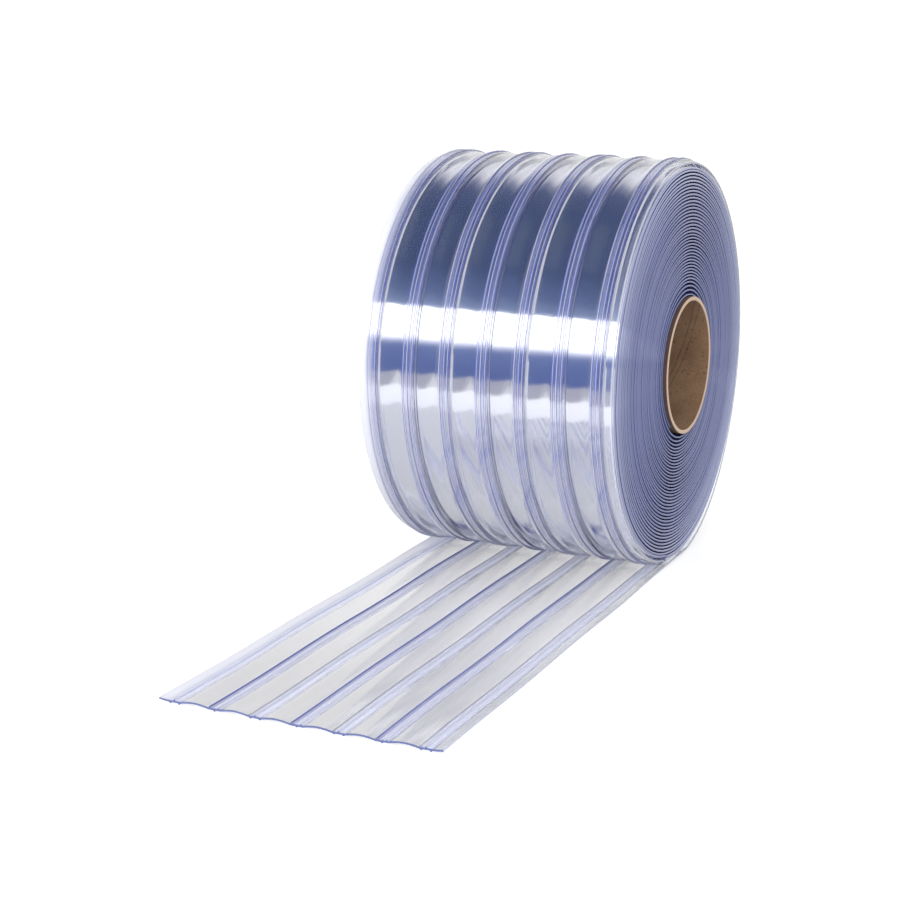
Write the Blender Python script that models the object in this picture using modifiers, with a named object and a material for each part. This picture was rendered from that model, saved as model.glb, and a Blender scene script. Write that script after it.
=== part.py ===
"""Bulk roll of clear double-ribbed PVC strip for strip curtains, on its cardboard core.

X runs along the roll, Z is up, and the loose end lies on the floor towards -Y.
The origin is on the floor, under the roll's axis and midway across the strip.
"""
import math

import bmesh
import bpy
import numpy as np

# The strip's section
STRIP_WIDTH = 0.200
SHEET = 0.0013  # wall between the ribs
RIB_HEIGHT = 0.0011
RIB_BASE = 0.0020
RIB_SPACING = 0.0033  # centre to centre, inside a group of three
RIB_GROUPS = 7
MARGIN = 0.0115  # from the strip's edge to the middle of its first rib group
PANEL_ARCH = 0.0013  # how far a panel bows towards the roll's axis
MARGIN_CURL = 0.0022  # how far a long edge curls towards the roll's axis

# The cardboard core
CORE_BORE = 0.100
CORE_WALL = 0.003
CORE_LENGTH = 0.206
CORE_OVERHANG = 0.0065  # past the strip's edge at the +X end
CORE_CHAMFER = 0.0004

# The winding
PLAIN_LAYERS = 19
WOUND_LOOPS = 20  # of one layer each, over the plain layers
LAYER_SLACK = 0.00015
WRAP_SLACK = 0.0005  # how loosely the outer turn lies on the roll
CREEP = 0.0027  # how far the innermost layer has crept towards +X
LAYER_GROOVE = 0.003  # how deep the plain layers' edges stand apart at the roll's ends
SEAT_GAP = 0.0003  # between pieces that lie on each other
SEAM_GAP = 0.0008  # where one stretch of the strip hands over to the next

# The loose end
LOOSE_REACH = 0.428  # from under the roll's axis to the cut end
JOIN_REACH = 0.025  # from under the axis to where the tongue begins
KINK_REACH = 0.0265  # how far the outer turn lies flat behind the axis
KINK_SLOPE = 0.008  # slack gained per radian just past the kink
REJOIN_ANGLE = math.radians(75)  # where the outer turn lies on the roll again
RIB_FLAT = 0.0005  # worn off the ribs that lie on the floor
END_CLEARANCE = 0.0017  # between the tongue's ribs and the outer turn's end over them

# Fineness of the curved surfaces
FACET = math.radians(10)
LOOSE_STEPS = 7
LOOP_POINTS = 24
ROUND_STEPS = 48
FINE_PANEL_STEPS = 4
COARSE_PANEL_STEPS = 2

CORE_RADIUS = CORE_BORE / 2 + CORE_WALL
PITCH = SHEET + RIB_HEIGHT + LAYER_SLACK
PACK_RADIUS = CORE_RADIUS + SEAT_GAP + (PLAIN_LAYERS + WOUND_LOOPS + 1) * PITCH
ROLL_RADIUS = PACK_RADIUS + WRAP_SLACK  # at the strip's edges
WRAP_RADIUS = ROLL_RADIUS + MARGIN_CURL  # at the rib groups
FLOOR_LIFT = RIB_HEIGHT - RIB_FLAT
AXIS_HEIGHT = WRAP_RADIUS + FLOOR_LIFT
END_LIFT = FLOOR_LIFT + SHEET + 2 * RIB_HEIGHT + END_CLEARANCE
WRAP_END_ANGLE = math.tau - math.acos((AXIS_HEIGHT - END_LIFT) / (WRAP_RADIUS - PITCH))
GROUP_PITCH = (STRIP_WIDTH - 2 * MARGIN) / (RIB_GROUPS - 1)
GROUP_HALF = RIB_SPACING + RIB_BASE / 2


def clear_scene():
    """Remove whatever the file opened with."""
    for old in list(bpy.data.objects):
        bpy.data.objects.remove(old, do_unlink=True)


def collection(name):
    """Return a new collection in the scene."""
    made = bpy.data.collections.new(name)
    bpy.context.scene.collection.children.link(made)
    return made


def material(name, colour, roughness, alpha=1.0):
    """Return a Principled material."""
    made = bpy.data.materials.new(name)
    made.use_nodes = True
    shader = made.node_tree.nodes["Principled BSDF"]
    shader.inputs["Base Color"].default_value = (*colour, 1.0)
    shader.inputs["Roughness"].default_value = roughness
    shader.inputs["Metallic"].default_value = 0.0
    shader.inputs["Alpha"].default_value = alpha
    made.diffuse_color = (*colour, alpha)
    return made


def add_object(name, data, home, finish=None):
    """Put mesh or curve data into the scene under a name."""
    made = bpy.data.objects.new(name, data)
    home.objects.link(made)
    if finish:
        data.materials.append(finish)
    return made


def mesh_from(bm, name):
    """Turn a bmesh into mesh data."""
    data = bpy.data.meshes.new(name)
    bm.to_mesh(data)
    bm.free()
    return data


def curve_from(name, points, cyclic):
    """Return a flat curve through (x, y) points, in straight runs."""
    data = bpy.data.curves.new(name, "CURVE")
    data.dimensions = "2D"
    spline = data.splines.new("POLY")
    spline.points.add(len(points) - 1)
    for place, (x, y) in zip(spline.points, points):
        place.co = (x, y, 0, 1)
    spline.use_cyclic_u = cyclic
    return data


def as_mesh(curve_object, home, finish):
    """Swap a curve object for the mesh that it makes, with its caps welded and whole."""
    name = curve_object.name
    bpy.context.view_layer.update()
    graph = bpy.context.evaluated_depsgraph_get()
    data = bpy.data.meshes.new_from_object(curve_object.evaluated_get(graph))
    bm = bmesh.new()
    bm.from_mesh(data)
    bmesh.ops.remove_doubles(bm, verts=bm.verts, dist=SEAT_GAP / 30)
    bmesh.ops.dissolve_faces(bm, faces=[face for face in bm.faces if len(face.verts) == 3])
    bmesh.ops.recalc_face_normals(bm, faces=bm.faces)
    bm.to_mesh(data)
    bm.free()
    matrix = curve_object.matrix_world.copy()
    bpy.data.objects.remove(curve_object, do_unlink=True)
    data.materials.clear()
    made = add_object(name, data, home, finish)
    made.matrix_world = matrix
    return made


def group_centre(group):
    """Return the place of a rib group across the strip."""
    return (group - (RIB_GROUPS - 1) / 2) * GROUP_PITCH


def rib_line(x, base, rise):
    """Return the three corners of one rib's outline."""
    return [(x - RIB_BASE / 2, base), (x, base + rise), (x + RIB_BASE / 2, base)]


def group_line(group, side, base, rise):
    """Return a rib group's outline on one face: two ribs, or one where the other face has two."""
    centre = group_centre(group)
    if (group + side) % 2 == 0:
        return rib_line(centre - RIB_SPACING, base, rise) + rib_line(centre + RIB_SPACING, base, rise)
    return [(centre - GROUP_HALF, base), *rib_line(centre, base, rise), (centre + GROUP_HALF, base)]


def panel_line(group, base, steps):
    """Return the bowed sheet between a rib group and the next."""
    start = group_centre(group) + GROUP_HALF
    span = GROUP_PITCH - 2 * GROUP_HALF
    inside = [step / steps for step in range(1, steps)]
    return [(start + span * t, base + PANEL_ARCH * math.sin(math.pi * t)) for t in inside]


def margin_line(end, base, steps):
    """Return the sheet's curled margin from its rib group out to one edge, end being -1 or 1."""
    start = group_centre(RIB_GROUPS - 1) + GROUP_HALF
    span = STRIP_WIDTH / 2 - start
    out = [step / steps for step in range(1, steps + 1)]
    return [(end * (start + span * t), base + MARGIN_CURL * t**1.5) for t in out]


def face_line(side, steps, ribbed):
    """Return one face of the strip, from edge to edge, as (x, height towards the axis).

    side is 0 for the outer face and 1 for the inner one.
    """
    base = SHEET * side
    rise = RIB_HEIGHT * (2 * side - 1)
    line = margin_line(-1, base, steps // 2)[::-1]
    for group in range(RIB_GROUPS):
        line += group_line(group, side, base, rise) if ribbed else [(group_centre(group), base)]
        if group < RIB_GROUPS - 1:
            line += panel_line(group, base, steps)
    return line + margin_line(1, base, steps // 2)


def strip_section(steps, inner_ribs):
    """Return the strip's closed outline."""
    outer = face_line(0, steps, True)
    inner = face_line(1, steps, inner_ribs)
    return outer + inner[::-1]


def pack_radius(turns):
    """Return the outer face's radius at a number of turns inward from under the axis."""
    return PACK_RADIUS - PITCH * turns


def wrap_radius(angle):
    """Return the outer turn's radius at its rib groups, at an angle from straight down."""
    settled = WRAP_RADIUS - PITCH * angle / math.tau
    kink = math.atan(KINK_REACH / WRAP_RADIUS)
    if angle >= REJOIN_ANGLE:
        return settled
    slack = WRAP_RADIUS / math.cos(kink) - (WRAP_RADIUS - PITCH * kink / math.tau)
    span = REJOIN_ANGLE - kink
    t = (angle - kink) / span
    hold = 2 * t**3 - 3 * t**2 + 1
    swell = t**3 - 2 * t**2 + t
    return settled + slack * hold + KINK_SLOPE * span * swell


def on_roll(radius, angle):
    """Return (y, z) at a radius from the roll's axis, at an angle from straight down."""
    return radius * math.sin(angle), AXIS_HEIGHT - radius * math.cos(angle)


def wrap_path():
    """Return the outer turn's route: flat on the floor, up the back, over and down."""
    kink = math.atan(KINK_REACH / WRAP_RADIUS)
    loose = [kink + (REJOIN_ANGLE - kink) * n / LOOSE_STEPS for n in range(1, LOOSE_STEPS)]
    count = round((WRAP_END_ANGLE - REJOIN_ANGLE) / FACET)
    step = (WRAP_END_ANGLE - REJOIN_ANGLE) / count
    settled = [REJOIN_ANGLE + step * n for n in range(count + 1)]
    flat = [(-JOIN_REACH, FLOOR_LIFT), (KINK_REACH, FLOOR_LIFT)]
    return flat + [on_roll(wrap_radius(angle), angle) for angle in loose + settled]


def floor_cutter(home):
    """Return a slab whose top is the floor."""
    size = 4 * (LOOSE_REACH + ROLL_RADIUS)
    bm = bmesh.new()
    bmesh.ops.create_cube(bm, size=size)
    bmesh.ops.translate(bm, verts=bm.verts, vec=(0, 0, -size / 2))
    made = add_object("floor_cutter", mesh_from(bm, "floor_cutter"), home)
    made.hide_render = True
    made.display_type = "WIRE"
    return made


def cut_at_floor(target, cutter):
    """Wear the ribs that lie on the floor flat."""
    cut = target.modifiers.new("Floor flat", "BOOLEAN")
    cut.operation = "DIFFERENCE"
    cut.object = cutter


def turned(name, profile, home, finish):
    """Turn a closed (x, radius) profile round the roll's axis."""
    bm = bmesh.new()
    corners = [bm.verts.new((x, radius, 0)) for x, radius in profile]
    for corner, after in zip(corners, corners[1:] + corners[:1]):
        bm.edges.new((corner, after))
    made = add_object(name, mesh_from(bm, name), home, finish)
    made.location.z = AXIS_HEIGHT
    screw = made.modifiers.new("Turn", "SCREW")
    screw.axis = "X"
    screw.angle = math.tau
    screw.steps = ROUND_STEPS
    screw.render_steps = ROUND_STEPS
    screw.use_merge_vertices = True
    screw.merge_threshold = SEAT_GAP / 30
    return made


def core_tube(home, finish):
    """Model the cardboard tube, a little longer than the strip is wide."""
    near = STRIP_WIDTH / 2 + CORE_OVERHANG
    far = near - CORE_LENGTH
    bore, skin, cut = CORE_BORE / 2, CORE_RADIUS, CORE_CHAMFER
    profile = [
        (near, bore + cut),
        (near, skin - cut),
        (near - cut, skin),
        (far + cut, skin),
        (far, skin - cut),
        (far, bore + cut),
        (far + cut, bore),
        (near - cut, bore),
    ]
    return turned("core_tube", profile, home, finish)


def creep_at(radius):
    """Return how far a layer has crept towards +X: all of it at the core, none outside."""
    share = (radius - CORE_RADIUS) / (PACK_RADIUS - CORE_RADIUS)
    return CREEP * (1 - share)


def layer_edges(inner, outer):
    """Return the layers' edges from the core outwards, as (depth into the roll, radius)."""
    line = [(0, inner)]
    for layer in range(int((outer - inner) / PITCH)):
        base = inner + layer * PITCH
        line.append((LAYER_GROOVE, base + (SHEET + PITCH) / 2))
        line.append((0, base + PITCH + SHEET / 2))
    return line[:-1] + [(0, outer)]


def inner_layers(home, finish):
    """Model the layers next to the core as one ring, its ends coned by the creep and ringed."""
    last_loop = pack_radius(WRAP_END_ANGLE / math.tau + WOUND_LOOPS) - SHEET
    outer = last_loop * math.cos(math.pi / LOOP_POINTS) - SEAT_GAP
    inner = CORE_RADIUS + SEAT_GAP
    edge = STRIP_WIDTH / 2
    line = layer_edges(inner, outer)
    near = [(edge + creep_at(radius) - depth, radius) for depth, radius in line]
    far = [(-edge + creep_at(radius) + depth, radius) for depth, radius in line]
    return turned("inner_layers", near + far[::-1], home, finish)


def loop_path():
    """Return the wound loops' route as arrays of angle and outer radius, outermost first."""
    steps = np.arange(WOUND_LOOPS * LOOP_POINTS + 1)
    start = WRAP_END_ANGLE + SEAM_GAP / PACK_RADIUS
    angle = start + steps * math.tau / LOOP_POINTS
    return angle, pack_radius(angle / math.tau)


def least_loop_gap(angle, radius):
    """Measure the least gap between one loop and the next, on points along both."""
    share = np.linspace(0, 1, 6)[None, :-1]

    def along(rim):
        y, z = rim * np.sin(angle), -rim * np.cos(angle)
        return [(a[:-1, None] * (1 - share) + a[1:, None] * share).ravel() for a in (y, z)]

    outer_y, outer_z = along(radius)
    inner_y, inner_z = along(radius - SHEET)
    turn = LOOP_POINTS * share.size
    least = math.inf
    for first in range(0, outer_y.size - turn, turn):
        above = slice(first, first + turn)
        below = slice(first + turn // 2, first + turn * 3 // 2 + 1)
        apart = np.hypot(
            inner_y[above, None] - outer_y[None, below],
            inner_z[above, None] - outer_z[None, below],
        )
        number = np.arange(outer_y.size)
        far = number[None, below] - number[above, None] > turn // 2
        least = min(least, float(apart[far].min()))
    return least


def wound_loops(home, finish):
    """Wind the strip on as one unbroken spiral sheet, a layer to a loop."""
    angle, radius = loop_path()
    bm = bmesh.new()
    line = []
    for turn, rim in zip(angle, radius):
        y, z = on_roll(rim, turn)
        x = creep_at(rim) - STRIP_WIDTH / 2
        line.append(bm.verts.new((x, y, z - AXIS_HEIGHT)))
    edges = [bm.edges.new(pair) for pair in zip(line, line[1:])]
    swept = bmesh.ops.extrude_edge_only(bm, edges=edges)["geom"]
    moved = [item for item in swept if isinstance(item, bmesh.types.BMVert)]
    bmesh.ops.translate(bm, verts=moved, vec=(STRIP_WIDTH, 0, 0))
    first = next(iter(bm.faces))
    first.normal_update()
    if first.normal.dot(first.calc_center_median()) < 0:
        bmesh.ops.reverse_faces(bm, faces=bm.faces)
    made = add_object("wound_loops", mesh_from(bm, "wound_loops"), home, finish)
    made.location.z = AXIS_HEIGHT
    wall = made.modifiers.new("Sheet", "SOLIDIFY")
    wall.thickness = SHEET
    wall.offset = -1
    wall.use_even_offset = True
    gap = least_loop_gap(angle, radius)
    length = float(np.sum((radius - SHEET / 2) * math.tau / LOOP_POINTS))
    print(f"wound_loops: {WOUND_LOOPS} loops, {length:.2f} m, least gap {gap * 1000:.2f} mm")
    return made


def outer_turn(home, guides, finish, cutter):
    """Sweep the ribbed section once round the roll, from the floor to the wound loops."""
    across = [(-height, x) for x, height in strip_section(COARSE_PANEL_STEPS, False)]
    section = curve_from("strip_section", across, True)
    guide = add_object("strip_section", section, guides)
    guide.hide_render = True
    guide.display_type = "WIRE"
    path = curve_from("outer_turn", wrap_path(), False)
    path.bevel_mode = "OBJECT"
    path.bevel_object = guide
    path.use_fill_caps = True
    made = add_object("outer_turn", path, home, finish)
    made.rotation_euler = (math.pi / 2, 0, math.pi / 2)
    made = as_mesh(made, home, finish)
    cut_at_floor(made, cutter)
    return made


def loose_tongue(home, finish, cutter):
    """Lay the loose end flat on the floor, cut square."""
    section = strip_section(FINE_PANEL_STEPS, True)
    outline = curve_from("loose_tongue", section, True)
    outline.fill_mode = "BOTH"
    start = -JOIN_REACH - SEAT_GAP
    outline.extrude = (start + LOOSE_REACH) / 2
    made = add_object("loose_tongue", outline, home, finish)
    made.rotation_euler = (math.pi / 2, 0, 0)
    made.location = (0, (start - LOOSE_REACH) / 2, FLOOR_LIFT)
    made = as_mesh(made, home, finish)
    cut_at_floor(made, cutter)
    return made


def shade(piece):
    """Shade a round piece smooth, with its sharp edges kept."""
    if piece.type == "MESH":
        piece.data.shade_smooth()
        piece.data.set_sharp_from_angle(angle=math.radians(30))


def main():
    clear_scene()
    parts = collection("strip_roll")
    guides = collection("cutters")
    clear_pvc = (0.62, 0.68, 0.86)
    cutter = floor_cutter(guides)
    pieces = [
        core_tube(parts, material("kraft_board", (0.36, 0.22, 0.13), 0.9)),
        inner_layers(parts, material("pvc_inner_layers", clear_pvc, 0.15, 0.8)),
        wound_loops(parts, material("pvc_wound_loops", clear_pvc, 0.12, 0.6)),
        outer_turn(parts, guides, material("pvc_outer_turn", clear_pvc, 0.1, 0.4), cutter),
        loose_tongue(parts, material("pvc_loose_tongue", (0.8, 0.83, 0.9), 0.1, 0.4), cutter),
    ]
    for piece in pieces:
        shade(piece)
    print(f"roll {2 * ROLL_RADIUS * 1000:.1f} mm across, axis {AXIS_HEIGHT * 1000:.1f} mm up")


main()
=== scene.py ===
# %% [markdown]
# This lesson dresses a bulk roll of clear, double-ribbed PVC strip on its cardboard core. The packed
# model gives the frame: where each piece is and which body it moves with. Everything below is made in
# metres in that frame, so a finished piece sits at the origin with its place in its mesh.

# %% Load the frame
import math

import bmesh
import bpy
import numpy as np
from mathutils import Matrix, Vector


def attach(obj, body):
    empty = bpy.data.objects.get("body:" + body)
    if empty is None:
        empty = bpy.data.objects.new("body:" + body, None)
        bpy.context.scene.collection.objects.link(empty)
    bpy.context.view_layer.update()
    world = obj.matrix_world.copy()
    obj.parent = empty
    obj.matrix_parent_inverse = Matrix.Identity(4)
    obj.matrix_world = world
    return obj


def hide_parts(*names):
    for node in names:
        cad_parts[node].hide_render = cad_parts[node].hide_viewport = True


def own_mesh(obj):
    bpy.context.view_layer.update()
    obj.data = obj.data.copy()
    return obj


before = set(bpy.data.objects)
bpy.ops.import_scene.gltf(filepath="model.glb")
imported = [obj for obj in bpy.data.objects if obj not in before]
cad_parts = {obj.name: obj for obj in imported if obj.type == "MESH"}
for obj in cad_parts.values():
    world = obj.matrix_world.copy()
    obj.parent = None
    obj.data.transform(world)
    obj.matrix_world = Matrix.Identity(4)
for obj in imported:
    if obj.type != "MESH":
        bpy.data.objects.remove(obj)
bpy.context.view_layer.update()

# %% [markdown]
# The camera comes first, so that every later choice can be judged from where the photograph was
# taken: low, 25 degrees round from the roll's front towards its end, with a long lens that keeps the
# roll's sides straight. A camera looks along its own -Z, so it is turned by the way back to it.

# %% Place the camera
CAMERA_EYE = (0.5463, -1.3659, 0.4405)
CAMERA_TURN, CAMERA_TILT = math.radians(25.2314), math.radians(13.7803)
SENSOR_WIDTH, FOCAL_LENGTH = 36, 75.28  # millimetres


def add_object(name, data):
    """Put mesh, lamp or camera data into the scene under a name."""
    made = bpy.data.objects.new(name, data)
    bpy.context.scene.collection.objects.link(made)
    return made


camera = add_object("camera", bpy.data.cameras.new("camera"))
bpy.context.scene.camera = camera
camera.data.sensor_width, camera.data.lens = SENSOR_WIDTH, FOCAL_LENGTH
camera.location = CAMERA_EYE
back = Vector((math.sin(CAMERA_TURN) * math.cos(CAMERA_TILT),
               -math.cos(CAMERA_TURN) * math.cos(CAMERA_TILT), math.sin(CAMERA_TILT)))
camera.rotation_mode = "QUATERNION"
camera.rotation_quaternion = (-back).to_track_quat("-Z", "Y")
print("lens", round(camera.data.lens, 2), "mm")

# %% [markdown]
# The strip's sizes are the CAD's own, under the names that they have there. Its ribs stand in groups
# of three: two on one face and one on the other, and the next group the other way round. The sheet
# bows a little between its groups and curls at its long edges, because PVC keeps the set of a roll.

# %% Name the sizes
STRIP_WIDTH = 0.200
SHEET = 0.0013  # wall between the ribs
RIB_HEIGHT = 0.0011
RIB_BASE = 0.0020
RIB_SPACING = 0.0033  # centre to centre, inside a group of three
RIB_GROUPS = 7
MARGIN = 0.0115  # from the strip's edge to the middle of its first rib group
PANEL_ARCH = 0.0013  # how far a panel bows towards the roll's axis
MARGIN_CURL = 0.0022  # how far a long edge curls towards the roll's axis
CORE_BORE, CORE_WALL, CORE_LENGTH = 0.100, 0.003, 0.206
CORE_OVERHANG = 0.0065  # past the strip's edge at the +X end
PLAIN_LAYERS, WOUND_LOOPS = 19, 20  # the layers next to the core, and the layers over them
LAYER_SLACK = 0.00015
WRAP_SLACK = 0.0005  # how loosely the outer turn lies on the roll
CREEP = 0.0027  # how far the innermost layer has crept towards +X
SEAT_GAP = 0.0003  # between pieces that lie on each other
SEAM_GAP = 0.0008  # where one stretch of the strip hands over to the next
LOOSE_REACH = 0.428  # from under the roll's axis to the cut end
HAND_OVER = -0.019  # where the tongue meets the outer turn, out of sight in the nip
KINK_REACH = 0.0265  # how far the outer turn lies flat behind the axis
KINK_SLOPE = 0.008  # slack gained per radian just past the kink
REJOIN_ANGLE = math.radians(75)  # where the outer turn lies on the roll again
RIB_FLAT = 0.0005  # worn off the ribs that lie on the floor
END_CLEARANCE = 0.0017  # between the tongue's ribs and the outer turn's end over them
print("strip", STRIP_WIDTH, "m wide in", PLAIN_LAYERS + WOUND_LOOPS + 1, "layers")

# %% [markdown]
# Everything else follows from these. A layer takes a sheet and a rib in height, because the ribs of
# one layer lie between those of the next, and the roll stands as high as its radius and a rib.

# %% Work out the roll
HALF_WIDTH = STRIP_WIDTH / 2
CORE_RADIUS = CORE_BORE / 2 + CORE_WALL
PITCH = SHEET + RIB_HEIGHT + LAYER_SLACK
PACK_RADIUS = CORE_RADIUS + SEAT_GAP + (PLAIN_LAYERS + WOUND_LOOPS + 1) * PITCH
WRAP_RADIUS = PACK_RADIUS + WRAP_SLACK + MARGIN_CURL  # at the outer turn's rib groups
FLOOR_LIFT = RIB_HEIGHT - RIB_FLAT
AXIS_HEIGHT = WRAP_RADIUS + FLOOR_LIFT
END_LIFT = FLOOR_LIFT + SHEET + 2 * RIB_HEIGHT + END_CLEARANCE
WRAP_END_ANGLE = math.tau - math.acos((AXIS_HEIGHT - END_LIFT) / (WRAP_RADIUS - PITCH))
GROUP_PITCH = (STRIP_WIDTH - 2 * MARGIN) / (RIB_GROUPS - 1)
GROUP_HALF = RIB_SPACING + RIB_BASE / 2
print("roll radius", round(PACK_RADIUS, 4), "axis height", round(AXIS_HEIGHT, 4))

# %% [markdown]
# An extruder gives the strip one section over its whole length, so the section is worked out once:
# two heights over the same places across the strip, one for each face. Ribs could be pieces of their
# own, but they are one with the sheet on the real strip, so they are part of its faces here.

# %% Lay out the section
CENTRES = (np.arange(RIB_GROUPS) - (RIB_GROUPS - 1) / 2) * GROUP_PITCH
PANEL_WIDTH = GROUP_PITCH - 2 * GROUP_HALF
MARGIN_START = CENTRES[-1] + GROUP_HALF
OUTER, INNER = 0, 1


def ribs(x, face):
    """Rib height at x: RIB_HEIGHT cos^2(pi d / RIB_BASE), d from the nearest rib of that face."""
    rise = np.zeros_like(x)
    for group, centre in enumerate(CENTRES):
        places = (-RIB_SPACING, RIB_SPACING) if (group + face) % 2 == 0 else (0.0,)
        for place in places:
            d = np.abs(x - centre - place)
            rise += np.where(d < RIB_BASE / 2, RIB_HEIGHT * np.cos(math.pi * d / RIB_BASE) ** 2, 0)
    return rise


def bow(x):
    """Height towards the axis: a sine between groups, and t^1.5 from the last group to the edge."""
    t = ((x - CENTRES[0] - GROUP_HALF) % GROUP_PITCH) / PANEL_WIDTH
    panel = np.where(t < 1, PANEL_ARCH * np.sin(math.pi * np.clip(t, 0, 1)), 0)
    out = np.clip((np.abs(x) - MARGIN_START) / (HALF_WIDTH - MARGIN_START), 0, 1)
    return np.where(np.abs(x) > CENTRES[-1], MARGIN_CURL * out**1.5, panel)


def across(per_rib, panel_points, margin_points):
    """Places across the strip: close together over each rib, wider over panels and margins."""
    near = RIB_SPACING * np.array([-1, 0, 1])[:, None] + RIB_BASE / 2 * np.linspace(-1, 1, per_rib)
    groups = (CENTRES[:, None] + near.ravel()).ravel()
    share = np.arange(1, panel_points + 1) / (panel_points + 1)
    panels = (CENTRES[:-1, None] + GROUP_HALF + PANEL_WIDTH * share).ravel()
    steps = np.arange(1, margin_points + 1)
    margin = MARGIN_START + (HALF_WIDTH - MARGIN_START) * steps / margin_points
    return np.sort(np.concatenate([groups, panels, margin, -margin]))


x = across(per_rib=11, panel_points=5, margin_points=5)
outer, inner = bow(x) - ribs(x, OUTER), bow(x) + SHEET + ribs(x, INNER)
print("section", len(x), "places, up to", round(1000 * float((inner - outer).max()), 2), "mm thick")

# %% [markdown]
# A strip is that section carried along a path, as its outer face and back along its inner face in one
# closed ring. Blender could sweep a curve, but a grid of points keeps every face a plain four-sided
# one, and lets a path lift, shift or flatten its rows.

# %% Carry a section along a path
def there_and_back(line):
    """Return a line followed by itself backwards, as the ring of a section runs."""
    return np.concatenate([line, line[::-1]])


def quads(number):
    """Faces of a grid of point numbers: a point, its neighbour, and both of them in the next row."""
    corners = [number[:-1, :-1], number[:-1, 1:], number[1:, 1:], number[1:, :-1]]
    return np.stack(corners, axis=-1).reshape(-1, 4)


def mesh_of(name, points, faces):
    """Put points and faces into mesh data."""
    data = bpy.data.meshes.new(name)
    data.from_pydata(np.reshape(points, (-1, 3)), [], faces)
    return data


def sheet_mesh(name, x, outer, inner, path, shift=0.0, lift=0.0):
    """Point = path + height * inward normal, x across; a closed skin of both faces, edges and ends.

    x, outer and inner are lines of M values, path is N rows of (y, z), shift moves each row in x and
    lift raises each point. No point goes below the floor. The second result is 1 for the faces that
    close the path's first end and 0 for the others. The attribute on_outer is 1 on the outer face's
    points and 0 on the inner face's.
    """
    along = np.gradient(path, axis=0)
    along /= np.linalg.norm(along, axis=1, keepdims=True)
    inward = np.stack([-along[:, 1], along[:, 0]], axis=1)
    places, height = there_and_back(x), np.concatenate([outer, inner[::-1]])
    rows, ring, half = len(path), len(places), len(x)
    co = np.empty((rows, ring, 3))
    co[:, :, 0] = places + np.broadcast_to(shift, rows)[:, None]
    co[:, :, 1:] = path[:, None, :] + height[None, :, None] * inward[:, None, :]
    co[:, :, 2] = np.maximum(co[:, :, 2] + lift, 0)
    number = np.arange(rows * ring).reshape(rows, ring)
    skin = quads(np.concatenate([number, number[:, :1]], axis=1))
    mirror = number[:, ::-1]
    caps = [np.stack([number[row, :half - 1], mirror[row, :half - 1],
                      mirror[row, 1:half], number[row, 1:half]], axis=-1) for row in (0, -1)]
    data = mesh_of(name, co, np.concatenate([skin, caps[0], caps[1][:, ::-1]]))
    bm = bmesh.new()
    bm.from_mesh(data)
    if bm.calc_volume(signed=True) < 0:
        bmesh.ops.reverse_faces(bm, faces=bm.faces)
    bm.to_mesh(data)
    bm.free()
    on_outer = data.attributes.new("on_outer", "FLOAT", "POINT")
    on_outer.data.foreach_set("value", np.tile(np.repeat([1.0, 0.0], half), rows).astype(np.float32))
    first_end = np.zeros(len(data.polygons), dtype=np.int32)
    first_end[len(skin):len(skin) + half - 1] = 1
    return data, first_end


print(len(there_and_back(x)), "points round the section")

# %% [markdown]
# Every piece goes into the scene in the same way: smooth but for its sharp edges, with its finishes,
# on the body that carries it, and in the place of the CAD nodes that it stands for. dressed says
# which of its finishes each face has, where there is more than one.

# %% Place a piece
SHARP_ANGLE = math.radians(40)


def place(name, data, finishes, body, slot, *nodes, dressed=None):
    """Put a finished mesh into the scene, riding on its body and standing for its CAD nodes."""
    data.shade_smooth()
    data.set_sharp_from_angle(angle=SHARP_ANGLE)
    for finish in finishes:
        data.materials.append(finish)
    if dressed is not None:
        data.polygons.foreach_set("material_index", dressed)
    piece = add_object(name, data)
    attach(piece, body)
    if nodes:
        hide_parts(*nodes)
    print(name, len(data.vertices), "points,", 2 * len(data.polygons), "triangles")
    return piece


# %% [markdown]
# Shader maths is written as sums of sockets. One small class wraps a socket, and one method of the
# finish adds every node, so that a material reads from top to bottom.

# %% Wrap the shader nodes
class Value:
    """A socket on which arithmetic adds Math nodes."""

    def __init__(self, finish, socket):
        self.finish, self.socket = finish, socket

    def math(self, operation, *others, swap=False):
        terms = [self, *others]
        return self.finish.add("ShaderNodeMath", {"operation": operation},
                               dict(enumerate(terms[::-1] if swap else terms)))

    def __add__(self, other):
        return self.math("ADD", other)

    def __mul__(self, other):
        return self.math("MULTIPLY", other)

    def __sub__(self, other):
        return self.math("SUBTRACT", other)

    def __rsub__(self, other):
        return self.math("SUBTRACT", other, swap=True)

    __radd__, __rmul__ = __add__, __mul__


class Finish:
    """A material or a world, whose nodes all come from add()."""

    def __init__(self, owner):
        owner.use_nodes = True
        self.owner, self.tree = owner, owner.node_tree
        self.tree.nodes.clear()

    def add(self, kind, settings=None, sockets=None, out=0):
        """Add a node, set its settings, then its sockets' values or links; return one output."""
        node = self.tree.nodes.new(kind)
        for name, setting in (settings or {}).items():
            if name == "stops":
                self.set_stops(node.color_ramp, setting)
            else:
                setattr(node, name, setting)
        for name, value in (sockets or {}).items():
            socket = node.inputs[name]
            if isinstance(value, Value):
                self.tree.links.new(value.socket, socket)
            else:
                socket.default_value = (*value, 1) if socket.type == "RGBA" else value
        return Value(self, node.outputs[out]) if len(node.outputs) else node

    @staticmethod
    def set_stops(ramp, stops):
        """Give a colour ramp its stops, each a place from 0 to 1 and a colour."""
        while len(ramp.elements) < len(stops):
            ramp.elements.new(0.5)
        for stop, (at, colour) in zip(ramp.elements, stops):
            stop.position = at
            stop.color = (*colour, 1)


def finish_named(name):
    return Finish(bpy.data.materials.new(name))


# %% [markdown]
# A few nodes come back in every finish: a place on the object and its three parts, a smooth step, a
# blend of two colours or two shaders, slow noise and a bump. Each has a short name of its own here, so
# that a finish below says what the material does and not how Blender numbers its sockets.

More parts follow.
